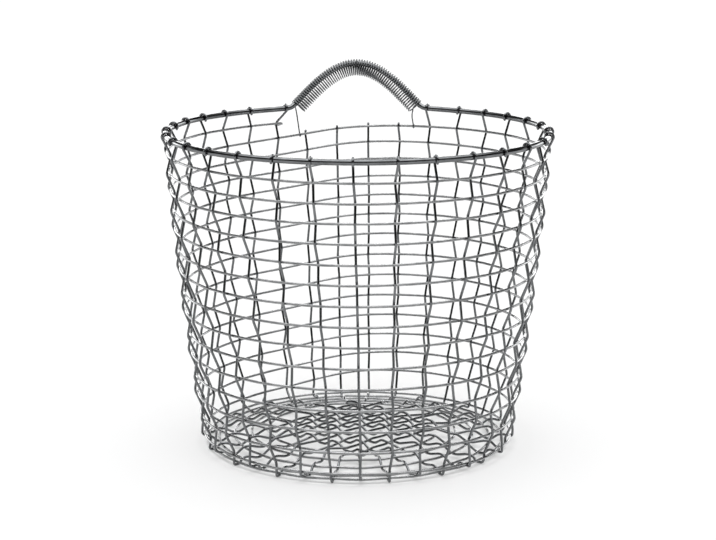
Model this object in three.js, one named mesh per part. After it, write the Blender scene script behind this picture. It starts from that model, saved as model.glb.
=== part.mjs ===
// Hand-woven steel wire basket with one coiled handle at the back.
// Millimetres, +Z up. The origin is on the floor under the middle of the basket, and the handle is at +Y.
import * as THREE from 'three';

// Rim, wall and base. The base is flat near the corner and rises a little towards its middle.
const rimRadius = 175;
const rimHeight = 290.6;
const footRadius = 142;
const wallSwell = 3;
const cornerRadius = 4;
const baseDome = 10;
const domeMargin = 12;

// Wire gauges, as diameters.
const rimWire = 5.2;
const stakeWire = 2.3;
const weaverWire = 2.3;
const coilWire = 1.3;

// Gap left wherever two wires touch, the gap where two ends of wire meet, and the steepest zigzag.
const clearance = 0.28;
const buttGap = 0.3;
const steepest = 0.8;

// Stakes: long wires each way through the base, bent up at both ends, and one odd half wire.
// At the rim they stand closest near the handle, and round the base they stand widest apart there.
// The side wires of the base take the smaller share of each bend.
const wiresEachWay = 8;
const gridSpacing = 16.1;
const gridTurn = 47;
const sideBendShare = 0.35;
const firstStakeAngle = 117.6;
const stakeCrowding = 4;
const crowdAngle = 112;
const baseSpread = 2;
const wallTwist = 0.8;
const oddStake = 14;
const oddWireLead = 6;
const stakePoke = 3;
const hookSweep = 250;
const hookLead = 25;
const leftHookLean = 3.2;
const rightHookLean = 0.8;

// Weaver: one spiral down the wall, round the corner and in across the base. Each row of the wall is
// nearly level and steps down to the next one at the back left.
const topRowDrop = 18.2;
const topRowClimb = 10;
const lastRowHeight = 9.6;
const rowPitch = 18.6;
const rowSpread = 0.0063;
const rowLift = 4;
const stepPlace = 0.535;
const stepSharpness = 8;
const cornerPitch = 10;
const cornerTurns = 2;
const basePitch = 16;
const flatHalf = 3.05;
const kinkDepth = 0.42;
const gridMargin = 7.4;
const endHookPlay = 0.5;
const endHookStep = 45;
const endHookSteps = 4;

// Handle: the rim wire bent up into an arch, with a loose coil of thin wire wound round it.
const handleHalfWidth = 64;
const handleRise = 43.6;
const handleShift = 1;
const handleBend = 4;
const handleStakeShare = 0.9;
const coilRadius = 8;
const coilPitch = 2.5;
const coilHang = 0.8;
const coilReach = 0.9;
const tailShift = 3;
const tailDrop = 8;

// Facets, and steps for measuring along the arch and the wall.
const rimSides = 8;
const archSteps = 10;
const archSpread = 1.1;
const archSamples = 400;
const hookSteps = 6;
const curlSteps = 8;
const tailHookStep = 60;
const tailHookSwings = [45, 0, -tailHookStep, -2 * tailHookStep, -3 * tailHookStep];
const nudge = 0.01;

const steel = { color: 0x8d9092, roughness: 0.42, metalness: 0.9 };
const rimSteel = { color: 0x7c7f81, roughness: 0.38, metalness: 0.9 };
const thinSteel = { color: 0x9a9c9d, roughness: 0.45, metalness: 0.9 };

// Worked out from the sizes above. A wire's square section has the area of the round wire.
const down = new THREE.Vector3(0, 0, -1);
const stakeCount = 4 * wiresEachWay + 1;
const stakeStep = 360 / stakeCount;
const frontCrossing = (270 - firstStakeAngle) / stakeStep;
const squareShare = Math.sqrt(Math.PI) / 4;
const stakeHalf = stakeWire * squareShare;
const weaverHalf = weaverWire * squareShare;
const coilHalf = coilWire * squareShare;
const rimReach = rimWire / 2 * Math.sqrt(2 * Math.PI / (rimSides * Math.sin(2 * Math.PI / rimSides)));
const wireReach = stakeHalf + Math.SQRT2 * weaverHalf + clearance;
const wallLean = (rimRadius - footRadius) / rimHeight;
const rowSpan = rimHeight - topRowDrop - lastRowHeight;
const wallTurns = Math.round(rowSpan / rowPitch);
const gridBend = slopedOffset(2 * Math.SQRT2 * stakeHalf + clearance, gridSpacing);
const baseLevel = wireReach + stakeHalf;
const cornerTop = baseLevel + cornerRadius;
const cornerArc = cornerRadius * Math.PI / 2;
const cornerMiddle = wallRadius(cornerTop / rimHeight) - cornerRadius;
const flatKinkTop = lastRowHeight + cornerPitch;
const hookStep = hookSweep / hookSteps;
const hookRadius = (rimReach + stakeHalf + clearance) / Math.cos(radians(hookStep / 2));
const handleAngle = 90 + degrees(Math.asin(handleShift / rimRadius));
const handleHalfAngle = degrees(Math.asin(handleHalfWidth / rimRadius));
const coilPlay = coilRadius * Math.cos(Math.PI / curlSteps) - Math.SQRT2 * coilHalf - rimReach - clearance;
const tailRadius = (Math.SQRT2 * (coilHalf + weaverHalf) + clearance) / Math.cos(radians(tailHookStep / 2));

// The weaver changes from the side wire to the base wire at the back of the corner, and ends where
// the rings of the base come close to the square middle. Both places are halfway between two stakes.
const wallEnd = Math.floor(frontCrossing + (wallTurns + 0.5) * stakeCount) + 0.5;
const buttShare = degrees(buttGap / 2 / cornerMiddle) / stakeStep;
const gridCorner = (wiresEachWay - 1) / 2 * gridSpacing * Math.SQRT2;
const baseRun = cornerMiddle - gridCorner - gridMargin;
const cornerDrop = cornerPitch * cornerTurns;
const baseTurns = (baseRun + lastRowHeight - cornerDrop - cornerTop + cornerArc) / basePitch;
const lastCrossing = Math.floor(frontCrossing + (wallTurns + cornerTurns + baseTurns) * stakeCount) + 0.5;

function radians(angle) {
  return angle * Math.PI / 180;
}

function degrees(angle) {
  return angle * 180 / Math.PI;
}

// Sideways offset of a zigzag wire whose slope between crossings still keeps this reach.
function slopedOffset(reach, pitch) {
  const slope = Math.min(2 * reach / pitch, steepest);
  return reach / Math.sqrt(1 - slope ** 2);
}

function spot(radius, angle, height) {
  return new THREE.Vector3(radius * Math.cos(radians(angle)), radius * Math.sin(radians(angle)), height);
}

function outward(angle) {
  return spot(1, angle, 0);
}

function fromHandle(angle) {
  return Math.abs(THREE.MathUtils.euclideanModulo(angle - handleAngle + 180, 360) - 180);
}

// Radius of the wall at a share of the rim's height, and rise of the base at a radius.
function wallRadius(share) {
  return footRadius + (rimRadius - footRadius) * share + 4 * wallSwell * share * (1 - share);
}

function domeRise(radius) {
  return baseDome * Math.max(1 - (radius / (cornerMiddle - domeMargin)) ** 2, 0);
}

// Angle of a stake, or of a crossing counted on round the basket. The wall twists a little towards the base.
function stakeAngle(stake, share) {
  const even = firstStakeAngle + stake * stakeStep;
  const atRim = stakeCrowding * Math.sin(radians(even - crowdAngle));
  const atBase = baseSpread * Math.sin(radians(even - 90)) + wallTwist;
  return even + THREE.MathUtils.lerp(atBase, -atRim, share);
}

// Rise of the rim wire over the plain rim, eased into the rim at the handle's feet.
function handleLift(angle) {
  const share = fromHandle(angle) / handleHalfAngle;
  const arch = share < 1 ? Math.cos(share * Math.PI / 2) : (1 - share) * Math.PI / 2;
  const height = handleRise * arch;
  return (height + Math.hypot(height, handleBend)) / 2;
}

function rimSpot(angle) {
  return spot(rimRadius, angle, rimHeight + handleLift(angle));
}

// Rows gone down after a number of turns: level for most of each turn, with one smooth step.
function rowsDown(turn) {
  const past = turn - stepPlace + 0.5;
  const share = past - Math.floor(past) - 0.5;
  return Math.floor(past) + Math.atan(stepSharpness * Math.tan(Math.PI * share)) / Math.PI;
}

// Place of the weaver along the wall's profile: a height on the wall, then on round the corner and inwards.
// The rows sag or rise a little at the back, and the top end climbs towards its hook.
function weaverRun(crossing) {
  const turn = (crossing - frontCrossing) / stakeCount;
  if (turn >= wallTurns) {
    const past = turn - wallTurns;
    const inward = basePitch * Math.max(past - cornerTurns, 0);
    return lastRowHeight - cornerPitch * Math.min(past, cornerTurns) - inward;
  }
  if (turn < 0) {
    return rimHeight - topRowDrop - topRowClimb * turn;
  }
  const down = rowsDown(turn) - rowsDown(0);
  const done = down * (1 + rowSpread * down) / (wallTurns * (1 + rowSpread * wallTurns));
  const towardsBack = (1 - Math.cos(2 * Math.PI * turn)) / 2;
  const lift = rowLift * (0.5 + Math.sin(2 * Math.PI * turn / wallTurns)) * towardsBack;
  return rimHeight - topRowDrop - rowSpan * done + lift;
}

// Where the weaver's middle line is at a crossing, and which way the woven surface faces there.
function weaverAt(crossing) {
  const run = weaverRun(crossing);
  const share = Math.max(run, 0) / rimHeight;
  const angle = stakeAngle(crossing, share);
  if (run > cornerTop) {
    return { run, angle, radius: wallRadius(share), height: run, facing: 0 };
  }
  const bend = Math.min((cornerTop - run) / cornerRadius, Math.PI / 2);
  const inward = Math.max(cornerTop - run - cornerArc, 0);
  const radius = cornerMiddle + cornerRadius * Math.cos(bend) - inward;
  const height = cornerTop - cornerRadius * Math.sin(bend) + domeRise(radius);
  return { run, angle, radius, height, facing: -bend };
}

// A wire path through its stops. One flat of the section looks along each stop's facing,
// and the section is stretched at every kink so that the wire keeps its thickness.
class WirePath extends THREE.Curve {
  constructor(stops) {
    super();
    this.points = stops.map((stop) => stop.point);
    this.facings = stops.map((stop) => stop.facing);
  }

  getPoint(share, target = new THREE.Vector3()) {
    const place = share * (this.points.length - 1);
    const index = Math.min(Math.floor(place), this.points.length - 2);
    return target.lerpVectors(this.points[index], this.points[index + 1], place - index);
  }

  getSpacedPoints() {
    return this.points;
  }

  computeFrenetFrames() {
    const frames = { tangents: [], normals: [], binormals: [] };
    const last = this.points.length - 1;
    this.points.forEach((point, i) => {
      const before = new THREE.Vector3().subVectors(point, this.points[Math.max(i - 1, 0)]).normalize();
      const after = new THREE.Vector3().subVectors(this.points[Math.min(i + 1, last)], point).normalize();
      const tangent = new THREE.Vector3().addVectors(before, after).normalize();
      const normal = this.facings[i].clone().projectOnPlane(tangent).normalize();
      const binormal = new THREE.Vector3().crossVectors(tangent, normal);
      if (i > 0 && i < last) {
        const bend = new THREE.Vector3().subVectors(after, before).normalize();
        const stretch = 1 / tangent.dot(after) - 1;
        normal.addScaledVector(bend, stretch * normal.dot(bend));
        binormal.addScaledVector(bend, stretch * binormal.dot(bend));
      }
      frames.tangents.push(tangent);
      frames.normals.push(normal);
      frames.binormals.push(binormal);
    });
    return frames;
  }
}

function polygon(sides, reach) {
  const corners = Array.from({ length: sides }, (_, i) => {
    const angle = 2 * Math.PI * (i + 0.5) / sides;
    return new THREE.Vector2(reach * Math.cos(angle), reach * Math.sin(angle));
  });
  return new THREE.Shape(corners);
}

function square(half) {
  return polygon(4, half * Math.SQRT2);
}

function makeWire(name, section, stops, finish) {
  const settings = { steps: stops.length - 1, extrudePath: new WirePath(stops) };
  const geometry = new THREE.ExtrudeGeometry(section, settings);
  const mesh = new THREE.Mesh(geometry, new THREE.MeshStandardMaterial(finish));
  mesh.name = name;
  return mesh;
}

// A stop given in the upright plane at an angle: radius, height and the slope that it faces along.
function planeStop(angle, radius, height, facing) {
  const face = outward(angle).multiplyScalar(Math.cos(facing)).setZ(Math.sin(facing));
  return { point: spot(radius, angle, height), facing: face };
}

// Rim and handle in one wire: it starts at the top of the arch, goes round the rim and ends there again.
function makeRimWire() {
  const half = degrees(buttGap / 2 / rimRadius);
  const archStep = archSpread * handleHalfAngle / archSteps;
  const arch = Array.from({ length: archSteps }, (_, i) => archStep * (i + 1));
  const hookTurns = hookedStakes().map((stake) => handleAngle - hookAngle(stake));
  const hooks = hookTurns.map((turn) => THREE.MathUtils.euclideanModulo(turn, 360));
  const turns = [half, ...arch, ...hooks, ...arch.map((turn) => 360 - turn), 360 - half];
  const angles = turns.sort((a, b) => a - b).map((turn) => handleAngle - turn);
  const stops = angles.map((angle) => ({ point: rimSpot(angle), facing: outward(angle) }));
  return makeWire('rim_wire', polygon(rimSides, rimReach), stops, rimSteel);
}

// Stakes under the handle stop just over the top row, because the rim has left the wall there.
function isUnderHandle(stake) {
  return fromHandle(stakeAngle(stake, 1)) < handleStakeShare * handleHalfAngle;
}

function hookedStakes() {
  return Array.from({ length: stakeCount }, (_, i) => i).filter((stake) => !isUnderHandle(stake));
}

// The two hooks beside the handle lean towards it.
function hookAngle(stake) {
  const rightLean = isUnderHandle(stake + 1) ? rightHookLean : 0;
  const leftLean = isUnderHandle(stake - 1) ? leftHookLean : 0;
  return stakeAngle(stake, 1) + rightLean - leftLean;
}

// Wires pass each other in turn. At a crossing with the weaver +1 is outside or under it, and -1 inside or
// over it. In the middle of the base +1 is over the other wire.
function sideAt(crossing) {
  return crossing % 2 === 0 ? 1 : -1;
}

// How far a stake is bent out at a row of the wall, which depends on the room to the next row or the rim.
function wallCrimp(crossing) {
  const run = weaverRun(crossing);
  const hookEnd = rimHeight - hookRadius - wireReach;
  const above = crossing < stakeCount ? hookEnd : weaverRun(crossing - stakeCount);
  const below = weaverRun(crossing + stakeCount);
  return slopedOffset(wireReach, Math.min(above - run, run - below) * (1 - wallLean));
}

// A stake where it passes the weaver, from the top row to the last ring of the base. Round the corner
// and under the base the stake runs flat past each row, and the basket stands on these flats.
function crossingStops(stake) {
  const stops = [];
  for (let crossing = stake; crossing < lastCrossing; crossing += stakeCount) {
    const at = weaverAt(crossing);
    const isFlat = at.run < flatKinkTop;
    const offset = sideAt(crossing) * (isFlat ? wireReach : wallCrimp(crossing));
    const places = isFlat ? [flatHalf, -flatHalf] : [0];
    places.forEach((along) => {
      const radius = at.radius + offset * Math.cos(at.facing) - along * Math.sin(at.facing);
      const height = at.height + offset * Math.sin(at.facing) + along * Math.cos(at.facing);
      const lowest = stakeHalf + kinkDepth * Math.cos(at.facing);
      stops.push(planeStop(at.angle, radius, Math.max(height, lowest), at.facing));
    });
  }
  return stops;
}

// A hook round the rim. It passes the rim on the other side than it passes the top row.
function hookStops(stake) {
  const passes = -sideAt(stake);
  const angle = hookAngle(stake);
  const middle = rimSpot(angle).z;
  return Array.from({ length: hookSteps + 1 }, (_, i) => {
    const swing = radians(hookSweep - hookLead - i * hookStep);
    const across = passes * Math.cos(swing);
    const up = Math.sin(swing);
    const facing = Math.atan2(passes * up, passes * across);
    return planeStop(angle, rimRadius + hookRadius * across, middle + hookRadius * up, facing);
  });
}

function pokeStop(stake) {
  const at = weaverAt(stake);
  return planeStop(at.angle, at.radius + sideAt(stake) * wallCrimp(stake) / 2, at.height + stakePoke, 0);
}

function uprightStops(stake) {
  const top = isUnderHandle(stake) ? [pokeStop(stake)] : hookStops(stake);
  return [...top, ...crossingStops(stake)];
}

// The square middle of the base, where both sets of long wires are bent over and under each other in turn.
function gridStops(heading, index, bend) {
  const middle = (wiresEachWay - 1) / 2;
  return Array.from({ length: wiresEachWay }, (_, i) => {
    const point = outward(heading).multiplyScalar((middle - i) * gridSpacing);
    point.addScaledVector(outward(heading + 90), (index - middle) * gridSpacing);
    const height = baseLevel + domeRise(point.length()) + sideAt(index + i) * bend;
    return { point: point.setZ(height), facing: down };
  });
}

// One long wire: down from the rim, across the base and up to the rim again.
function makeLongWire(name, grid, nearStake, farStake) {
  const near = uprightStops(nearStake % stakeCount);
  const far = uprightStops(farStake % stakeCount);
  return makeWire(name, square(stakeHalf), [...near, ...grid, ...far.reverse()], steel);
}

function makeLongWires() {
  const group = new THREE.Group();
  const firstSideStake = oddStake + wiresEachWay + 1;
  const sideBend = sideBendShare * gridBend;
  for (let i = 0; i < wiresEachWay; i += 1) {
    const frontGrid = gridStops(gridTurn - 90, i, gridBend - sideBend);
    const frontEnds = [oddStake + 1 + i, oddStake + 3 * wiresEachWay - i];
    const sideGrid = gridStops(gridTurn, i, sideBend);
    const sideEnds = [firstSideStake + i, oddStake + 4 * wiresEachWay - i];
    group.add(makeLongWire(`long_wire_front_${i + 1}`, frontGrid, ...frontEnds));
    group.add(makeLongWire(`long_wire_side_${i + 1}`, sideGrid, ...sideEnds));
  }
  return group;
}

// The odd half wire makes the number of stakes uneven, so that one weaver passes them in turn.
function makeOddWire() {
  const stops = uprightStops(oddStake);
  const last = stops.at(-1).point;
  const endRadius = Math.hypot(last.x, last.y) - oddWireLead;
  const endHeight = baseLevel + domeRise(endRadius);
  stops.push(planeStop(stakeAngle(oddStake, 0), endRadius, endHeight, -Math.PI / 2));
  return makeWire('odd_wire', square(stakeHalf), stops, steel);
}

function weaverStop(crossing) {
  const at = weaverAt(crossing);
  return { point: spot(at.radius, at.angle, at.height), facing: outward(at.angle) };
}

function weaverStops(start, end) {
  const stops = [];
  for (let crossing = Math.ceil(start); crossing < end; crossing += 1) {
    stops.push(weaverStop(crossing));
  }
  return stops;
}

// The top end of the weaver curls round the first stake.
function weaverEndHook() {
  const at = weaverAt(0);
  const radius = (wallCrimp(0) + endHookPlay) / Math.cos(radians(endHookStep / 2));
  const stakeSpot = spot(at.radius + wallCrimp(0), at.angle, at.height);
  return Array.from({ length: endHookSteps }, (_, i) => {
    const away = outward(at.angle + 180 + (endHookSteps - i) * endHookStep);
    return { point: stakeSpot.clone().addScaledVector(away, radius), facing: away.clone().negate() };
  });
}

// The wall's part of the weaver in lengths of one turn each, which meet at the back.
function makeSideWeaver() {
  const group = new THREE.Group();
  for (let row = 0; row <= wallTurns; row += 1) {
    const end = wallEnd - (wallTurns - row) * stakeCount;
    const start = end - stakeCount;
    const head = row === 0 ? weaverEndHook() : [weaverStop(start + buttShare)];
    const stops = [...head, ...weaverStops(Math.max(start, 0), end), weaverStop(end - buttShare)];
    group.add(makeWire(`side_weaver_${row + 1}`, square(weaverHalf), stops, steel));
  }
  return group;
}

function makeBaseWeaver() {
  const rings = weaverStops(wallEnd, lastCrossing);
  const stops = [weaverStop(wallEnd + buttShare), ...rings, weaverStop(lastCrossing)];
  return makeWire('base_weaver', square(weaverHalf), stops, steel);
}

// Angles along the arch at even steps of its length, from the left foot to the right.
function archAngles(stepsFor) {
  const span = coilReach * handleHalfAngle;
  const shares = Array.from({ length: archSamples + 1 }, (_, i) => 1 - 2 * i / archSamples);
  const fine = shares.map((share) => handleAngle + span * share);
  const lengths = [0];
  fine.slice(1).forEach((angle, i) => lengths.push(lengths[i] + rimSpot(angle).distanceTo(rimSpot(fine[i]))));
  const total = lengths.at(-1);
  const steps = stepsFor(total);
  return Array.from({ length: steps + 1 }, (_, i) => {
    const wanted = total * i / steps;
    const after = THREE.MathUtils.clamp(lengths.findIndex((length) => length >= wanted), 1, archSamples);
    const share = (wanted - lengths[after - 1]) / (lengths[after] - lengths[after - 1]);
    return THREE.MathUtils.lerp(fine[after - 1], fine[after], share);
  });
}

// The curls of the handle. The coil is wider than the rim wire and hangs on it.
function curlStops() {
  const angles = archAngles((length) => (Math.round(length / coilPitch) + 0.5) * curlSteps);
  return angles.map((angle, i) => {
    const ahead = rimSpot(angle - nudge).sub(rimSpot(angle + nudge)).normalize();
    const over = new THREE.Vector3().crossVectors(ahead, outward(angle));
    const swing = 2 * Math.PI * i / curlSteps;
    const facing = outward(angle).multiplyScalar(Math.cos(swing)).addScaledVector(over, Math.sin(swing));
    const middle = rimSpot(angle).addScaledVector(over, -coilHang * coilPlay);
    return { point: middle.addScaledVector(facing, coilRadius), facing };
  });
}

// Crossing of the top row at an angle, with the stakes' uneven spacing undone.
function topCrossing(angle) {
  const even = angle + stakeCrowding * Math.sin(radians(angle - crowdAngle));
  return THREE.MathUtils.euclideanModulo((even - firstStakeAngle) / stakeStep, stakeCount);
}

// An end of the coil's wire: down beside the coil and hooked under the top row of the weaver.
// It passes the row outside (+1) or inside (-1) first, and ends with a short straight piece.
function tailStops(from, turn, passes) {
  const fromAngle = degrees(Math.atan2(from.y, from.x));
  const angle = fromAngle + turn * degrees(tailShift / rimRadius);
  const crossing = topCrossing(angle);
  const stake = Math.floor(crossing);
  const row = weaverStop(stake).point.lerp(weaverStop(stake + 1).point, crossing - stake);
  const rowRadius = Math.hypot(row.x, row.y);
  const hook = tailHookSwings.map((degree) => {
    const across = passes * Math.cos(radians(degree));
    const up = Math.sin(radians(degree));
    return planeStop(angle, rowRadius + tailRadius * across, row.z + tailRadius * up, Math.atan2(up, across));
  });
  const fall = planeStop(angle, rimRadius + passes * coilRadius, from.z - tailDrop, passes > 0 ? 0 : Math.PI);
  const tip = planeStop(angle, rowRadius - passes * tailRadius, row.z + coilWire, passes > 0 ? Math.PI : 0);
  return [fall, ...hook, tip];
}

// Least gap between one curl and the next, measured between points of the coil's middle line.
function leastGap(stops) {
  let least = Infinity;
  stops.forEach(({ point }, i) => {
    stops.slice(i + curlSteps / 2 + 1).forEach((other) => {
      least = Math.min(least, point.distanceTo(other.point));
    });
  });
  return least - coilWire;
}

function makeHandleCoil() {
  const curls = curlStops();
  const leftTail = tailStops(curls[0].point, 1, 1).reverse();
  const rightTail = tailStops(curls.at(-1).point, -1, -1);
  const gap = leastGap(curls).toFixed(2);
  console.log(`handle coil: ${Math.floor(curls.length / curlSteps)} curls, least gap ${gap} mm`);
  return makeWire('handle_coil', square(coilHalf), [...leftTail, ...curls, ...rightTail], thinSteel);
}

const basket = new THREE.Group();
basket.add(makeRimWire(), makeHandleCoil(), makeLongWires(), makeOddWire());
basket.add(makeSideWeaver(), makeBaseWeaver());

export default basket;
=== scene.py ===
# %% [markdown]
# # A hand-woven steel wire basket
#
# The basket is woven like a willow one, but from galvanised steel wire: stakes that stand up from
# the base, a weaver that spirals round them, a thick rim that the stakes hook over, and a handle
# wrapped in a coil of thin wire. The CAD model gives each wire its place with square, sharply
# kinked wires. Here every wire is drawn again as a round one that bends softly, on the same route.

# %% Load the CAD frame
import math
from collections import namedtuple

import bpy
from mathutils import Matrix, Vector, noise


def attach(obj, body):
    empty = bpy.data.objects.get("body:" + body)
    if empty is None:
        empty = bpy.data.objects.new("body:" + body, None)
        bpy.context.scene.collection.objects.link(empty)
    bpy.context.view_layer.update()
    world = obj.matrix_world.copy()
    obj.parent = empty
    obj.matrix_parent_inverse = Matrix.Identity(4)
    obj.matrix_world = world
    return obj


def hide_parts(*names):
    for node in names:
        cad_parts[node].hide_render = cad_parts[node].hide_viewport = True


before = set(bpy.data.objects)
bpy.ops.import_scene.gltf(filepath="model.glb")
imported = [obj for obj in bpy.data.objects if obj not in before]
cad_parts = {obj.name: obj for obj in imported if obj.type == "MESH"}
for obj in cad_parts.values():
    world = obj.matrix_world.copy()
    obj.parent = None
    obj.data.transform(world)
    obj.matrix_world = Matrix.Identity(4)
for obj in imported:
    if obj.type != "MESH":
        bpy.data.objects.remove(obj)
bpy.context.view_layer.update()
MM = 0.001
print("nodes in the frame:", len(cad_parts))

# %% [markdown]
# ## The camera
#
# The photograph was taken from a little above the rim. A camera fitted to the hooks of the rim and
# to the base gives its place, its tilt and its lens. The lens is quite long, so the basket hardly
# widens towards the viewer.

# %% Place the camera
CAMERA_PLACE = (0.0, -1838.2, 558.0)
CAMERA_TILT = 77.835
LENS = 101.99
FRAME_SHIFT = 0.0004
SENSOR_WIDTH = 36

camera_data = bpy.data.cameras.new("camera")
camera_data.sensor_fit = "HORIZONTAL"
camera_data.sensor_width = SENSOR_WIDTH
camera_data.lens = LENS
camera_data.shift_x = FRAME_SHIFT
camera = bpy.data.objects.new("camera", camera_data)
camera.location = Vector(CAMERA_PLACE) * MM
camera.rotation_euler = (math.radians(CAMERA_TILT), 0, 0)
bpy.context.collection.objects.link(camera)
bpy.context.scene.camera = camera
print("camera at", [round(value, 3) for value in camera.location])

# %% [markdown]
# ## Sizes of the basket
#
# These are the sizes that drive the CAD model, so that each round wire follows the wire that it
# replaces. Lengths are in millimetres and angles in degrees. Three sizes differ from the CAD model:
# LAST_CROSSING gives the base weaver 0.7 of a turn more, GRID_MARGIN lets it pass closer to the
# square middle, and TOUCH leaves less space where two wires touch. The stakes are numbered
# counter-clockwise from the one at the back left where the weaver ends.

# %% Sizes of the wall, the wires and the weave
RIM_RADIUS = 175
RIM_HEIGHT = 290.6
FOOT_RADIUS = 142
WALL_SWELL = 3
CORNER_RADIUS = 4
BASE_DOME = 10
DOME_MARGIN = 12

RIM_WIRE = 5.2
STAKE_WIRE = 2.3
COIL_WIRE = 1.3
TOUCH = 0.04

WIRES_EACH_WAY = 8
GRID_SPACING = 16.1
GRID_TURN = 47
GRID_MARGIN = 5
FIRST_STAKE_ANGLE = 117.6
STAKE_CROWDING = 4
CROWD_ANGLE = 112
BASE_SPREAD = 2
WALL_TWIST = 0.8
ODD_STAKE = 14

TOP_ROW_DROP = 18.2
TOP_ROW_CLIMB = 10
LAST_ROW_HEIGHT = 9.6
WALL_TURNS = 14
ROW_SPREAD = 0.0063
ROW_LIFT = 4
STEP_PLACE = 0.535
STEP_SHARPNESS = 8
CORNER_PITCH = 10
CORNER_TURNS = 2
BASE_PITCH = 16
LAST_CROSSING = 647.5

FRONT_ANGLE = 270
BACK_ANGLE = 90
STAKE_COUNT = 4 * WIRES_EACH_WAY + 1
STAKE_STEP = 360 / STAKE_COUNT
FRONT_CROSSING = (FRONT_ANGLE - FIRST_STAKE_ANGLE) / STAKE_STEP
ROW_SPAN = RIM_HEIGHT - TOP_ROW_DROP - LAST_ROW_HEIGHT
print("stakes:", STAKE_COUNT, "one every", round(STAKE_STEP, 2), "degrees")

# %% [markdown]
# ## The shape of the wall and the rim
#
# The wall is nearly a cone with a slight swell. The stakes are not set quite evenly: at the rim
# they stand closer together near the handle, and round the base they stand wider apart there. The
# handle is no separate piece: the rim wire itself rises in an arch at the back. A few short
# functions give a point on these shapes.


# %% Points on the wall and the rim
HANDLE_HALF_WIDTH = 64
HANDLE_RISE = 43.6
HANDLE_SHIFT = 1
HANDLE_BEND = 4
HANDLE_ANGLE = BACK_ANGLE + math.degrees(math.asin(HANDLE_SHIFT / RIM_RADIUS))
HANDLE_HALF_ANGLE = math.degrees(math.asin(HANDLE_HALF_WIDTH / RIM_RADIUS))


def spot(radius, angle, height):
    turn = math.radians(angle)
    return Vector((radius * math.cos(turn), radius * math.sin(turn), height))


def outward(angle):
    return spot(1, angle, 0)


def from_handle(angle):
    return abs((angle - HANDLE_ANGLE + 180) % 360 - 180)


def wall_radius(share):
    return FOOT_RADIUS + (RIM_RADIUS - FOOT_RADIUS) * share + 4 * WALL_SWELL * share * (1 - share)


def stake_angle(stake, share):
    even = FIRST_STAKE_ANGLE + stake * STAKE_STEP
    at_rim = -STAKE_CROWDING * math.sin(math.radians(even - CROWD_ANGLE))
    at_base = BASE_SPREAD * math.sin(math.radians(even - BACK_ANGLE)) + WALL_TWIST
    return even + at_base + (at_rim - at_base) * share


def rim_spot(angle):
    share = from_handle(angle) / HANDLE_HALF_ANGLE
    arch = math.cos(share * math.pi / 2) if share < 1 else (1 - share) * math.pi / 2
    lift = HANDLE_RISE * arch
    eased = (lift + math.hypot(lift, HANDLE_BEND)) / 2
    return spot(RIM_RADIUS, angle, RIM_HEIGHT + eased)


print("top of the handle's arch:", round(rim_spot(HANDLE_ANGLE).z, 1), "mm")

# %% [markdown]
# ## The route of the weaver
#
# The weaver is one long spiral. It starts under the rim, goes down the wall row by row, turns round
# the corner and winds inwards across the base, which rises a little towards its middle. A row runs
# level most of the way round and steps down to the next one at the back left. Counting its
# crossings with the stakes gives one number for each place on it: whole numbers are crossings, and
# one turn is 33 of them. A little smooth noise moves each crossing by up to about a millimetre,
# because no hand sets a wire quite evenly.

# %% Places along the weaver
WIRE_GAP = STAKE_WIRE + TOUCH
BASE_LEVEL = WIRE_GAP + STAKE_WIRE / 2
CORNER_TOP = BASE_LEVEL + CORNER_RADIUS
CORNER_ARC = CORNER_RADIUS * math.pi / 2
CORNER_MIDDLE = wall_radius(CORNER_TOP / RIM_HEIGHT) - CORNER_RADIUS
WEAVER_WAVE = 0.3
END_LIFT_SHARE = 0.5

HAND_SHIFT = 0.9
SHIFT_PACE = 0.23
SHIFT_SEED = 8.1
HAND_TURN = 0.4
TURN_PACE = 0.31
TURN_SEED = 3.7

Place = namedtuple("Place", "run angle radius height facing")


def dome_rise(radius):
    return BASE_DOME * max(1 - (radius / (CORNER_MIDDLE - DOME_MARGIN)) ** 2, 0)


def grid_edge(angle):
    turn = math.radians(angle - GRID_TURN)
    half = (WIRES_EACH_WAY - 1) / 2 * GRID_SPACING + GRID_MARGIN
    return half / max(abs(math.cos(turn)), abs(math.sin(turn)))


def rows_down(turn):
    past = turn - STEP_PLACE + 0.5
    share = past - math.floor(past) - 0.5
    return math.floor(past) + math.atan(STEP_SHARPNESS * math.tan(math.pi * share)) / math.pi


def weaver_run(crossing):
    turn = (crossing - FRONT_CROSSING) / STAKE_COUNT
    if turn >= WALL_TURNS:
        past = turn - WALL_TURNS
        inward = BASE_PITCH * max(past - CORNER_TURNS, 0)
        return LAST_ROW_HEIGHT - CORNER_PITCH * min(past, CORNER_TURNS) - inward
    if turn < 0:
        return RIM_HEIGHT - TOP_ROW_DROP - TOP_ROW_CLIMB * turn
    down = rows_down(turn) - rows_down(0)
    done = down * (1 + ROW_SPREAD * down) / (WALL_TURNS * (1 + ROW_SPREAD * WALL_TURNS))
    towards_back = (1 - math.cos(2 * math.pi * turn)) / 2
    lift = ROW_LIFT * (END_LIFT_SHARE + math.sin(2 * math.pi * turn / WALL_TURNS)) * towards_back
    return RIM_HEIGHT - TOP_ROW_DROP - ROW_SPAN * done + lift


def weaver_at(crossing):
    run = weaver_run(crossing)
    share = max(run, 0) / RIM_HEIGHT
    uneven = noise.noise(Vector((crossing * TURN_PACE, TURN_SEED, 0)))
    angle = stake_angle(crossing, share) + HAND_TURN * uneven
    if run > CORNER_TOP:
        height = run + HAND_SHIFT * noise.noise(Vector((crossing * SHIFT_PACE, 0, SHIFT_SEED)))
        return Place(run, angle, wall_radius(share), height, 0)
    bend = min((CORNER_TOP - run) / CORNER_RADIUS, math.pi / 2)
    inward = max(CORNER_TOP - run - CORNER_ARC, 0)
    radius = max(CORNER_MIDDLE + CORNER_RADIUS * math.cos(bend) - inward, grid_edge(angle))
    height = CORNER_TOP - CORNER_RADIUS * math.sin(bend) + dome_rise(radius)
    return Place(run, angle, radius, height, -bend)


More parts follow.
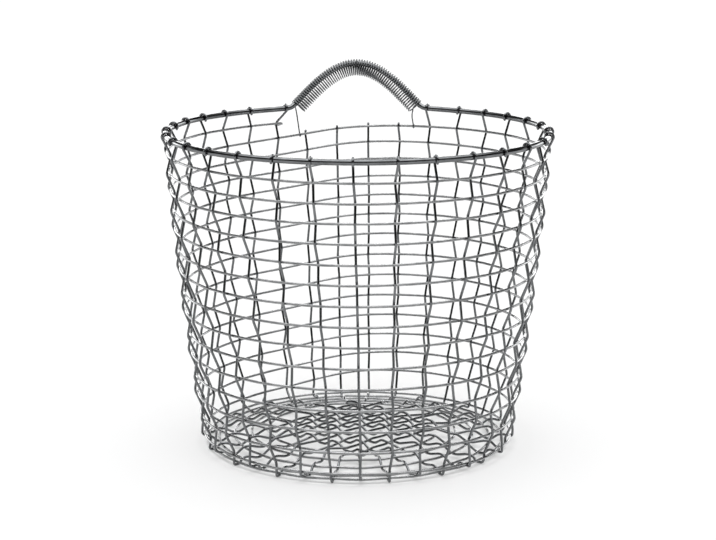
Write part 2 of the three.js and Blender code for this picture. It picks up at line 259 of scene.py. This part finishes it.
def weaver_spot(crossing):
    at = weaver_at(crossing)
    wave = -WEAVER_WAVE * math.cos(math.pi * crossing)
    radius = at.radius + wave * math.cos(at.facing)
    return spot(radius, at.angle, at.height + wave * math.sin(at.facing))


front_crossings = [FRONT_CROSSING + row * STAKE_COUNT for row in range(WALL_TURNS + 1)]
print("rows at the front:", [round(weaver_at(crossing).height) for crossing in front_crossings])

# %% [markdown]
# ## Drawing a round wire
#
# A curve object with a bevel would draw a tube, but a mesh made ring by ring also gets a UV map
# that runs along the wire, which the drawn-steel finish needs. Each ring is carried on from the
# last one without twisting, and each end gets a small chamfer, as a cut wire has. Kinks are
# softened first, by replacing each corner with a short curve.

# %% Soften kinks and sweep a wire
KINK_STEPS = 4
KINK_SHARE = 0.48
LEAST_STEP = 0.02
END_CHAMFER = 0.25


def softened(points, reach):
    soft = [points[0]]
    for before, corner, after in zip(points, points[1:], points[2:]):
        back = before - corner
        ahead = after - corner
        cut = min(reach, KINK_SHARE * back.length, KINK_SHARE * ahead.length)
        start = corner + back.normalized() * cut
        end = corner + ahead.normalized() * cut
        for i in range(KINK_STEPS + 1):
            share = i / KINK_STEPS
            bow = start.lerp(corner, share).lerp(corner.lerp(end, share), share)
            soft.append(bow)
    soft.append(points[-1])
    return soft


def without_repeats(points):
    kept = [points[0]]
    for point in points[1:]:
        if (point - kept[-1]).length > LEAST_STEP:
            kept.append(point)
    return kept


def wire_rings(points, radius):
    last = len(points) - 1
    tangents = [(points[min(i + 1, last)] - points[max(i - 1, 0)]).normalized() for i in range(last + 1)]
    rings = []
    side = tangents[0].orthogonal().normalized()
    for point, tangent in zip(points, tangents):
        side = (side - tangent * side.dot(tangent)).normalized()
        rings.append((point, side, tangent.cross(side), radius))
    chamfer = END_CHAMFER * radius
    first = (points[0] - tangents[0] * chamfer, rings[0][1], rings[0][2], radius - chamfer)
    final = (points[-1] + tangents[-1] * chamfer, rings[-1][1], rings[-1][2], radius - chamfer)
    return [first, *rings, final]


def draw_wire(name, nodes, points, diameter, sides, material):
    rings = wire_rings(without_repeats(points), diameter / 2)
    turns = [2 * math.pi * j / sides for j in range(sides)]
    vertices = []
    for middle, side, over, radius in rings:
        for turn in turns:
            vertices.append((middle + (side * math.cos(turn) + over * math.sin(turn)) * radius) * MM)
    faces = [tuple(reversed(range(sides)))]
    marks = [[(0.0, j / sides) for j in reversed(range(sides))]]
    length = 0.0
    for i in range(len(rings) - 1):
        ahead = length + (rings[i + 1][0] - rings[i][0]).length * MM
        for j in range(sides):
            k = (j + 1) % sides
            faces.append((i * sides + j, i * sides + k, (i + 1) * sides + k, (i + 1) * sides + j))
            low = j / sides
            high = (j + 1) / sides
            marks.append([(length, low), (length, high), (ahead, high), (ahead, low)])
        length = ahead
    faces.append(tuple((len(rings) - 1) * sides + j for j in range(sides)))
    marks.append([(length, j / sides) for j in range(sides)])
    mesh = bpy.data.meshes.new(name + "_round")
    mesh.from_pydata(vertices, [], faces)
    layer = mesh.uv_layers.new(name="along_wire")
    layer.data.foreach_set("uv", [value for face in marks for mark in face for value in mark])
    mesh.polygons.foreach_set("use_smooth", [len(face) == 4 for face in faces])
    mesh.materials.append(material)
    piece = bpy.data.objects.new(name + "_round", mesh)
    bpy.context.collection.objects.link(piece)
    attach(piece, "root")
    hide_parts(*nodes)
    return length


print("a softened kink has", KINK_STEPS + 1, "points")

# %% [markdown]
# ## Galvanised steel
#
# Every wire is steel with a thin coat of zinc. Two effects are shared by all of them, so each is a
# node group: fine lines along the wire from the drawing die, and cloudy patches where the zinc has
# dulled. The groups put out only a height and a mask, and each material decides what it does with
# them.

# %% Node groups for die lines and zinc bloom


def new_group(name, inputs, outputs):
    group = bpy.data.node_groups.new(name, "ShaderNodeTree")
    for label, value in inputs.items():
        socket = group.interface.new_socket(label, in_out="INPUT", socket_type="NodeSocketFloat")
        socket.default_value = value
    for label in outputs:
        group.interface.new_socket(label, in_out="OUTPUT", socket_type="NodeSocketFloat")
    return group, group.nodes.new("NodeGroupInput"), group.nodes.new("NodeGroupOutput")


def make_die_lines():
    group, given, result = new_group("die_lines", {"Lines": 14.0, "Length": 45.0}, ["Lines"])
    uv = group.nodes.new("ShaderNodeUVMap")
    uv.uv_map = "along_wire"
    stretch = group.nodes.new("ShaderNodeCombineXYZ")
    scaled = group.nodes.new("ShaderNodeVectorMath")
    scaled.operation = "MULTIPLY"
    grain = group.nodes.new("ShaderNodeTexNoise")
    grain.inputs["Scale"].default_value = 1
    grain.inputs["Detail"].default_value = 3
    group.links.new(given.outputs["Length"], stretch.inputs["X"])
    group.links.new(given.outputs["Lines"], stretch.inputs["Y"])
    group.links.new(uv.outputs["UV"], scaled.inputs[0])
    group.links.new(stretch.outputs["Vector"], scaled.inputs[1])
    group.links.new(scaled.outputs["Vector"], grain.inputs["Vector"])
    group.links.new(grain.outputs["Fac"], result.inputs["Lines"])
    return group


def make_zinc_bloom():
    group, given, result = new_group("zinc_bloom", {"Scale": 90.0, "Spread": 0.5}, ["Bloom"])
    place = group.nodes.new("ShaderNodeTexCoord")
    cloud = group.nodes.new("ShaderNodeTexNoise")
    cloud.inputs["Detail"].default_value = 5
    cloud.inputs["Roughness"].default_value = 0.62
    contrast = group.nodes.new("ShaderNodeMapRange")
    contrast.inputs["From Min"].default_value = 0.35
    contrast.inputs["From Max"].default_value = 0.65
    soften = group.nodes.new("ShaderNodeMath")
    soften.operation = "MULTIPLY"
    group.links.new(place.outputs["Object"], cloud.inputs["Vector"])
    group.links.new(given.outputs["Scale"], cloud.inputs["Scale"])
    group.links.new(cloud.outputs["Fac"], contrast.inputs["Value"])
    group.links.new(contrast.outputs["Result"], soften.inputs[0])
    group.links.new(given.outputs["Spread"], soften.inputs[1])
    group.links.new(soften.outputs["Value"], result.inputs["Bloom"])
    return group


die_lines = make_die_lines()
zinc_bloom = make_zinc_bloom()
print("node groups:", die_lines.name, zinc_bloom.name)

# %% [markdown]
# ## Four finishes
#
# The rim, the stakes and the thin wire of the handle are smooth and get darker colours, as painted
# shade.
# The weaver is duller and gets a lighter colour, as painted light, though all the wires are the same
# steel. The four differ only in colour, in roughness, and in the number and depth of the die lines.

# %% Make the steel materials
BLOOM_SCALE = 70
BLOOM_SPREAD = 0.85
LINE_LENGTH = 40
LINE_DEPTH = 0.0002
FRESH_POLISH = 0.08
DULL_ROUGHNESS = 0.14


def placed_group(material, group, **values):
    node = material.node_tree.nodes.new("ShaderNodeGroup")
    node.node_tree = group
    for label, value in values.items():
        node.inputs[label].default_value = value
    return node


def make_steel(name, fresh, dull, roughness, lines, depth):
    material = bpy.data.materials.new(name)
    material.use_nodes = True
    nodes = material.node_tree.nodes
    links = material.node_tree.links
    shader = nodes["Principled BSDF"]
    shader.inputs["Metallic"].default_value = 1
    bloom = placed_group(material, zinc_bloom, Scale=BLOOM_SCALE, Spread=BLOOM_SPREAD)
    drawn = placed_group(material, die_lines, Lines=lines, Length=LINE_LENGTH)
    colour = nodes.new("ShaderNodeMix")
    colour.data_type = "RGBA"
    colour.inputs["A"].default_value = (*fresh, 1)
    colour.inputs["B"].default_value = (*dull, 1)
    links.new(bloom.outputs["Bloom"], colour.inputs["Factor"])
    links.new(colour.outputs["Result"], shader.inputs["Base Color"])
    polish = nodes.new("ShaderNodeMapRange")
    polish.inputs["To Min"].default_value = roughness - FRESH_POLISH
    polish.inputs["To Max"].default_value = roughness + DULL_ROUGHNESS
    links.new(bloom.outputs["Bloom"], polish.inputs["Value"])
    links.new(polish.outputs["Result"], shader.inputs["Roughness"])
    bump = nodes.new("ShaderNodeBump")
    bump.inputs["Strength"].default_value = depth
    bump.inputs["Distance"].default_value = LINE_DEPTH
    links.new(drawn.outputs["Lines"], bump.inputs["Height"])
    links.new(bump.outputs["Normal"], shader.inputs["Normal"])
    return material


# Each colour is the zinc's own tone with painted light or shade in it: the rim, the stakes and the coil
# get a darker copy as painted shade, and the weaver a lighter copy as painted light.
PAINTED_SHADE_ZINC = {"fresh": (0.20, 0.205, 0.21), "dull": (0.12, 0.125, 0.13)}
PAINTED_LIGHT_ZINC = {"fresh": (0.40, 0.405, 0.41), "dull": (0.26, 0.265, 0.27)}
PAINTED_SHADE_COIL_ZINC = {"fresh": (0.18, 0.185, 0.19), "dull": (0.11, 0.115, 0.12)}

rim_steel = make_steel("rim_steel", **PAINTED_SHADE_ZINC, roughness=0.16, lines=26, depth=0.35)
stake_steel = make_steel("stake_steel", **PAINTED_SHADE_ZINC, roughness=0.15, lines=14, depth=0.4)
weaver_steel = make_steel("weaver_steel", **PAINTED_LIGHT_ZINC, roughness=0.26, lines=14, depth=0.4)
coil_steel = make_steel("coil_steel", **PAINTED_SHADE_COIL_ZINC, roughness=0.18, lines=8, depth=0.3)
print("finishes:", [material.name for material in (rim_steel, stake_steel, weaver_steel, coil_steel)])

# %% [markdown]
# ## The rim and the handle's arch
#
# One thick wire makes both. Its two ends meet at the top of the arch, where the coil hides them.

# %% Draw the rim wire
RIM_BUTT = 0.3
RIM_STEP = 1.0
RIM_SIDES = 20

half_butt = math.degrees(RIM_BUTT / 2 / RIM_RADIUS)
rim_steps = [RIM_STEP * i for i in range(1, round(360 / RIM_STEP))]
rim_turns = [half_butt, *rim_steps, 360 - half_butt]
rim_points = [rim_spot(HANDLE_ANGLE - turn) for turn in rim_turns]
rim_length = draw_wire("rim_wire", ["rim_wire"], rim_points, RIM_WIRE, RIM_SIDES, rim_steel)
print("rim wire:", round(rim_length, 2), "m")

# %% [markdown]
# ## The stakes
#
# A stake passes the weaver outside and inside in turn, so it zigzags down the wall. At the top it
# hooks round the rim from the side that the zigzag brings it to. The four stakes under the handle
# stop just above the top row, because the rim has left the wall there. Down at the corner the rows
# are close together and the stake lies flat against each of them.

# %% Points of one stake
HANDLE_STAKE_SHARE = 0.9
HOOK_SWEEP = 250
HOOK_LEAD = 25
LEFT_HOOK_LEAN = 3.2
RIGHT_HOOK_LEAN = 0.8
HOOK_STEPS = 16
HOOK_TURN = 2 * HAND_TURN
HOOK_PACE = 0.71
HOOK_SEED = 9.3
STAKE_POKE = 3
EXTRA_CRIMP = 0.9
STAKE_CRIMP = WIRE_GAP - WEAVER_WAVE + EXTRA_CRIMP
FLAT_HALF = 3.0
FLAT_TOP = LAST_ROW_HEIGHT + CORNER_PITCH


def side_at(crossing):
    return 1 if crossing % 2 == 0 else -1


def is_under_handle(stake):
    return from_handle(stake_angle(stake, 1)) < HANDLE_STAKE_SHARE * HANDLE_HALF_ANGLE


def hook_points(stake):
    lean = RIGHT_HOOK_LEAN * is_under_handle(stake + 1) - LEFT_HOOK_LEAN * is_under_handle(stake - 1)
    uneven = noise.noise(Vector((stake * HOOK_PACE, HOOK_SEED, 0)))
    angle = stake_angle(stake, 1) + lean + HOOK_TURN * uneven
    radius = (RIM_WIRE + STAKE_WIRE) / 2 + TOUCH
    height = rim_spot(angle).z
    points = []
    for i in range(HOOK_STEPS + 1):
        swing = math.radians(HOOK_SWEEP - HOOK_LEAD - i * HOOK_SWEEP / HOOK_STEPS)
        across = -side_at(stake) * math.cos(swing)
        points.append(spot(RIM_RADIUS + radius * across, angle, height + radius * math.sin(swing)))
    return points


def poke_points(stake):
    at = weaver_at(stake)
    return [spot(at.radius + side_at(stake) * STAKE_CRIMP / 2, at.angle, at.height + STAKE_POKE)]


def top_points(stake):
    return poke_points(stake) if is_under_handle(stake) else hook_points(stake)


def crossing_points(stake):
    points = []
    for crossing in range(stake, math.ceil(LAST_CROSSING), STAKE_COUNT):
        at = weaver_at(crossing)
        is_flat = at.run < FLAT_TOP
        offset = side_at(crossing) * (WIRE_GAP if is_flat else STAKE_CRIMP)
        for along in ((FLAT_HALF, -FLAT_HALF) if is_flat else (0,)):
            radius = at.radius + offset * math.cos(at.facing) - along * math.sin(at.facing)
            height = at.height + offset * math.sin(at.facing) + along * math.cos(at.facing)
            points.append(spot(radius, at.angle, max(height, STAKE_WIRE / 2)))
    return points


print("stakes that stop under the handle:", [n for n in range(STAKE_COUNT) if is_under_handle(n)])

# %% [markdown]
# ## Sixteen long wires and an odd one
#
# Two stakes on opposite sides are one wire, which crosses the middle of the base. Eight wires go
# each way there, over and under each other, and the square that they make is turned. The front set
# takes nearly all of the bend, in short flats over and under each wire of the side set, which stays
# nearly straight. One odd half wire makes the number of stakes uneven: only then does a single
# weaver pass each stake on the other side at every turn.

# %% Draw the long wires
FRONT_BEND = 2.6
SIDE_BEND = 0.6
FRONT_FLAT = 4.0
KINK_REACH = 2.2
STAKE_SIDES = 12


def grid_points(heading, index, bend, flats):
    middle = (WIRES_EACH_WAY - 1) / 2
    points = []
    for i in range(WIRES_EACH_WAY):
        aside = outward(heading + 90) * (index - middle) * GRID_SPACING
        for flat in flats:
            across = outward(heading) * ((middle - i) * GRID_SPACING + flat)
            rise = dome_rise((across + aside).length) + side_at(index + i) * bend
            points.append(across + aside + Vector((0, 0, BASE_LEVEL + rise)))
    return points


def draw_long_wire(node, grid, near_stake, far_stake):
    near_top = top_points(near_stake % STAKE_COUNT)
    far_top = top_points(far_stake % STAKE_COUNT)
    near = crossing_points(near_stake % STAKE_COUNT)
    far = crossing_points(far_stake % STAKE_COUNT)
    kinks = [near_top[-1], *near, *grid, *reversed(far), far_top[-1]]
    points = [*near_top[:-1], *softened(kinks, KINK_REACH), *reversed(far_top[:-1])]
    return draw_wire(node, [node], points, STAKE_WIRE, STAKE_SIDES, stake_steel)


wire_lengths = []
first_side_stake = ODD_STAKE + WIRES_EACH_WAY + 1
for i in range(WIRES_EACH_WAY):
    front_grid = grid_points(GRID_TURN - 90, i, FRONT_BEND, (FRONT_FLAT, -FRONT_FLAT))
    front_ends = (ODD_STAKE + 1 + i, ODD_STAKE + 3 * WIRES_EACH_WAY - i)
    side_grid = grid_points(GRID_TURN, i, SIDE_BEND, (0,))
    side_ends = (first_side_stake + i, ODD_STAKE + 4 * WIRES_EACH_WAY - i)
    wire_lengths.append(draw_long_wire(f"long_wire_front_{i + 1}", front_grid, *front_ends))
    wire_lengths.append(draw_long_wire(f"long_wire_side_{i + 1}", side_grid, *side_ends))
shortest = round(min(wire_lengths), 2)
longest = round(max(wire_lengths), 2)
print("long wires:", len(wire_lengths), "of", shortest, "to", longest, "m")

# %% Draw the odd wire
ODD_WIRE_LEAD = 6

odd_top = top_points(ODD_STAKE)
odd_kinks = crossing_points(ODD_STAKE)
odd_end_radius = odd_kinks[-1].to_2d().length - ODD_WIRE_LEAD
odd_end_height = BASE_LEVEL + dome_rise(odd_end_radius)
odd_kinks.append(spot(odd_end_radius, stake_angle(ODD_STAKE, 0), odd_end_height))
odd_points = [*odd_top[:-1], *softened([odd_top[-1], *odd_kinks], KINK_REACH)]
odd_length = draw_wire(
    "odd_wire", ["odd_wire"], odd_points, STAKE_WIRE, STAKE_SIDES, stake_steel
)
print("odd wire:", round(odd_length, 2), "m")

# %% [markdown]
# ## The weaver
#
# The spiral is drawn in two lengths, for the wall and for the base, which meet near the corner. It
# hardly bends at the crossings, because the stakes do most of the bending. In the base it ends
# along the square middle. Its top end passes the first stake by a few millimetres and turns back
# on the outer side of that stake.

# %% Draw the weaver
WALL_END = 492.5
BUTT_CROSSING = 0.006
WEAVER_STEPS = 4
END_CURL_STEPS = 10
END_PASS = 4
END_DROP = 2


def weaver_points(start, end):
    first = math.ceil(start * WEAVER_STEPS)
    last = math.floor(end * WEAVER_STEPS)
    between = [weaver_spot(i / WEAVER_STEPS) for i in range(first, last + 1)]
    return [weaver_spot(start), *between, weaver_spot(end)]


def end_curl_points():
    at = weaver_at(0)
    stake = spot(at.radius + WIRE_GAP, at.angle, at.height)
    past_stake = outward(at.angle - 90) * END_PASS
    points = [stake + outward(at.angle) * WIRE_GAP - Vector((0, 0, END_DROP))]
    for i in range(END_CURL_STEPS + 1):
        share = i / END_CURL_STEPS
        drop = Vector((0, 0, END_DROP * (1 - share)))
        points.append(stake + past_stake - drop + outward(at.angle - 180 * share) * WIRE_GAP)
    return points


side_points = [*end_curl_points(), *weaver_points(0, WALL_END - BUTT_CROSSING)]
side_nodes = [f"side_weaver_{row + 1}" for row in range(WALL_TURNS + 1)]
side_length = draw_wire(
    "side_weaver", side_nodes, side_points, STAKE_WIRE, STAKE_SIDES, weaver_steel
)
base_points = weaver_points(WALL_END + BUTT_CROSSING, LAST_CROSSING)
base_length = draw_wire(
    "base_weaver", ["base_weaver"], base_points, STAKE_WIRE, STAKE_SIDES, weaver_steel
)
print("weaver:", round(side_length, 2), "m on the wall and", round(base_length, 2), "m in the base")

# %% [markdown]
# ## The handle's coil
#
# Thin wire is wound loosely round the arch. The coil is wider than the rim wire and hangs on it, so
# daylight shows between the wire and the lower side of the coil. Both ends come down and hook under
# the top row of the weaver.

# %% Points of the coil
COIL_RADIUS = 7.9
COIL_PITCH = 2.5
COIL_DROP = 3.9
COIL_REACH = 0.95
CURL_STEPS = 24
EXTRA_CURL = 0.5
NUDGE = 0.01
ARCH_SAMPLES = 400
TAIL_SHIFT = -1.5
TAIL_DROP = 8
TAIL_SWINGS = (45, 0, -45, -90, -135, -180)


def arch_angles():
    span = COIL_REACH * HANDLE_HALF_ANGLE
    fine = [HANDLE_ANGLE + span * (1 - 2 * i / ARCH_SAMPLES) for i in range(ARCH_SAMPLES + 1)]
    lengths = [0]
    for before, after in zip(fine, fine[1:]):
        lengths.append(lengths[-1] + (rim_spot(after) - rim_spot(before)).length)
    curls = round(lengths[-1] / COIL_PITCH) + EXTRA_CURL
    steps = round(curls * CURL_STEPS)
    angles = []
    place = 1
    for i in range(steps + 1):
        wanted = lengths[-1] * i / steps
        while place < ARCH_SAMPLES and lengths[place] < wanted:
            place += 1
        share = (wanted - lengths[place - 1]) / (lengths[place] - lengths[place - 1])
        angles.append(fine[place - 1] + (fine[place] - fine[place - 1]) * share)
    return angles


def curl_points():
    points = []
    for i, angle in enumerate(arch_angles()):
        ahead = (rim_spot(angle - NUDGE) - rim_spot(angle + NUDGE)).normalized()
        over = ahead.cross(outward(angle))
        swing = 2 * math.pi * i / CURL_STEPS
        away = outward(angle) * math.cos(swing) + over * math.sin(swing)
        points.append(rim_spot(angle) - over * COIL_DROP + away * COIL_RADIUS)
    return points


def top_crossing(angle):
    even = angle + STAKE_CROWDING * math.sin(math.radians(angle - CROWD_ANGLE))
    return (even - FIRST_STAKE_ANGLE) / STAKE_STEP % STAKE_COUNT


def tail_points(start, turn, passes):
    angle = math.degrees(math.atan2(start.y, start.x)) + turn * math.degrees(TAIL_SHIFT / RIM_RADIUS)
    row = weaver_spot(top_crossing(angle))
    row_radius = row.to_2d().length
    reach = (COIL_WIRE + STAKE_WIRE) / 2 + TOUCH
    points = [spot(RIM_RADIUS + passes * COIL_RADIUS, angle, start.z - TAIL_DROP)]
    for swing in TAIL_SWINGS:
        swung = math.radians(swing)
        across = passes * math.cos(swung)
        points.append(spot(row_radius + reach * across, angle, row.z + reach * math.sin(swung)))
    points.append(points[-1] + Vector((0, 0, COIL_WIRE)))
    return points


curls = curl_points()
print("coil:", round(len(curls) / CURL_STEPS, 1), "curls")

# %% Draw the coil
TAIL_REACH = 3
COIL_SIDES = 8

left_tail = softened([curls[0], *tail_points(curls[0], 1, 1)], TAIL_REACH)
right_tail = softened([curls[-1], *tail_points(curls[-1], -1, -1)], TAIL_REACH)
coil_points = [*reversed(left_tail[1:]), *curls, *right_tail[1:]]
coil_length = draw_wire(
    "handle_coil", ["handle_coil"], coil_points, COIL_WIRE, COIL_SIDES, coil_steel
)
print("coil wire:", round(coil_length, 2), "m")

# %% [markdown]
# ## Floor and light
#
# The basket stands on a plain pale floor. A glow that the camera and the reflections in the wires
# see lifts the floor to white, and the floor still keeps the basket's soft shadow. There are no
# lamps: the light is that of a studio with a bright ceiling, a low bright strip at the back and
# dark walls, so the upper sides of the wires are bright and their edges go dark.

# %% Make the floor
FLOOR_SIZE = 40
FLOOR_TONE = 0.6
FLOOR_GLOW = 0.3

floor_mesh = bpy.data.meshes.new("floor")
corner = FLOOR_SIZE / 2
floor_corners = [(-corner, -corner, 0), (corner, -corner, 0), (corner, corner, 0), (-corner, corner, 0)]
floor_mesh.from_pydata(floor_corners, [], [(0, 1, 2, 3)])
floor = bpy.data.objects.new("floor", floor_mesh)
bpy.context.collection.objects.link(floor)

floor_paint = bpy.data.materials.new("floor_paint")
floor_paint.use_nodes = True
floor_shader = floor_paint.node_tree.nodes["Principled BSDF"]
floor_shader.inputs["Base Color"].default_value = (FLOOR_TONE, FLOOR_TONE, FLOOR_TONE, 1)
floor_shader.inputs["Roughness"].default_value = 0.9
floor_shader.inputs["Specular IOR Level"].default_value = 0
floor_shader.inputs["Emission Color"].default_value = (1, 1, 1, 1)
floor_rays = floor_paint.node_tree.nodes.new("ShaderNodeLightPath")
floor_seen = floor_paint.node_tree.nodes.new("ShaderNodeMath")
floor_seen.operation = "MAXIMUM"
floor_glow = floor_paint.node_tree.nodes.new("ShaderNodeMath")
floor_glow.operation = "MULTIPLY"
floor_glow.inputs[1].default_value = FLOOR_GLOW
floor_paint.node_tree.links.new(floor_rays.outputs["Is Camera Ray"], floor_seen.inputs[0])
floor_paint.node_tree.links.new(floor_rays.outputs["Is Glossy Ray"], floor_seen.inputs[1])
floor_paint.node_tree.links.new(floor_seen.outputs["Value"], floor_glow.inputs[0])
floor_paint.node_tree.links.new(floor_glow.outputs["Value"], floor_shader.inputs["Emission Strength"])
floor_mesh.materials.append(floor_paint)
print("floor:", FLOOR_SIZE, "m wide")

# %% Light the basket
WALL_LIGHT = 0.04
BACKDROP_LIGHT = 5.0
CEILING_LIGHT = 2.8
CEILING_EDGE = (0.6, 0.92)
BACKDROP_SIDES = (0.3, 0.7)
BACKDROP_TOP = (0.35, 0.1)
HORIZON = (-0.02, 0)

world = bpy.data.worlds.new("studio")
bpy.context.scene.world = world
world.use_nodes = True
sky = world.node_tree.nodes["Background"]
sky.inputs["Color"].default_value = (1, 1, 1, 1)
sky_place = world.node_tree.nodes.new("ShaderNodeTexCoord")
sky_axes = world.node_tree.nodes.new("ShaderNodeSeparateXYZ")
world.node_tree.links.new(sky_place.outputs["Generated"], sky_axes.inputs["Vector"])


def sky_ramp(axis, start, full, strength):
    ramp = world.node_tree.nodes.new("ShaderNodeMapRange")
    ramp.interpolation_type = "SMOOTHSTEP"
    ramp.inputs["From Min"].default_value = start
    ramp.inputs["From Max"].default_value = full
    ramp.inputs["To Max"].default_value = strength
    world.node_tree.links.new(sky_axes.outputs[axis], ramp.inputs["Value"])
    return ramp.outputs["Result"]


def sky_math(operation, first, second):
    node = world.node_tree.nodes.new("ShaderNodeMath")
    node.operation = operation
    world.node_tree.links.new(first, node.inputs[0])
    world.node_tree.links.new(second, node.inputs[1])
    return node.outputs["Value"]


ceiling = sky_ramp("Z", *CEILING_EDGE, CEILING_LIGHT)
strip = sky_ramp("Y", *BACKDROP_SIDES, BACKDROP_LIGHT)
backdrop = sky_math("MULTIPLY", strip, sky_ramp("Z", *BACKDROP_TOP, 1))
walls = sky_ramp("Z", *HORIZON, WALL_LIGHT)
level = sky_math("MAXIMUM", sky_math("MAXIMUM", ceiling, backdrop), walls)
world.node_tree.links.new(level, sky.inputs["Strength"])
bpy.context.scene.view_settings.view_transform = "Standard"
print("ceiling light:", CEILING_LIGHT, "backdrop light:", BACKDROP_LIGHT)
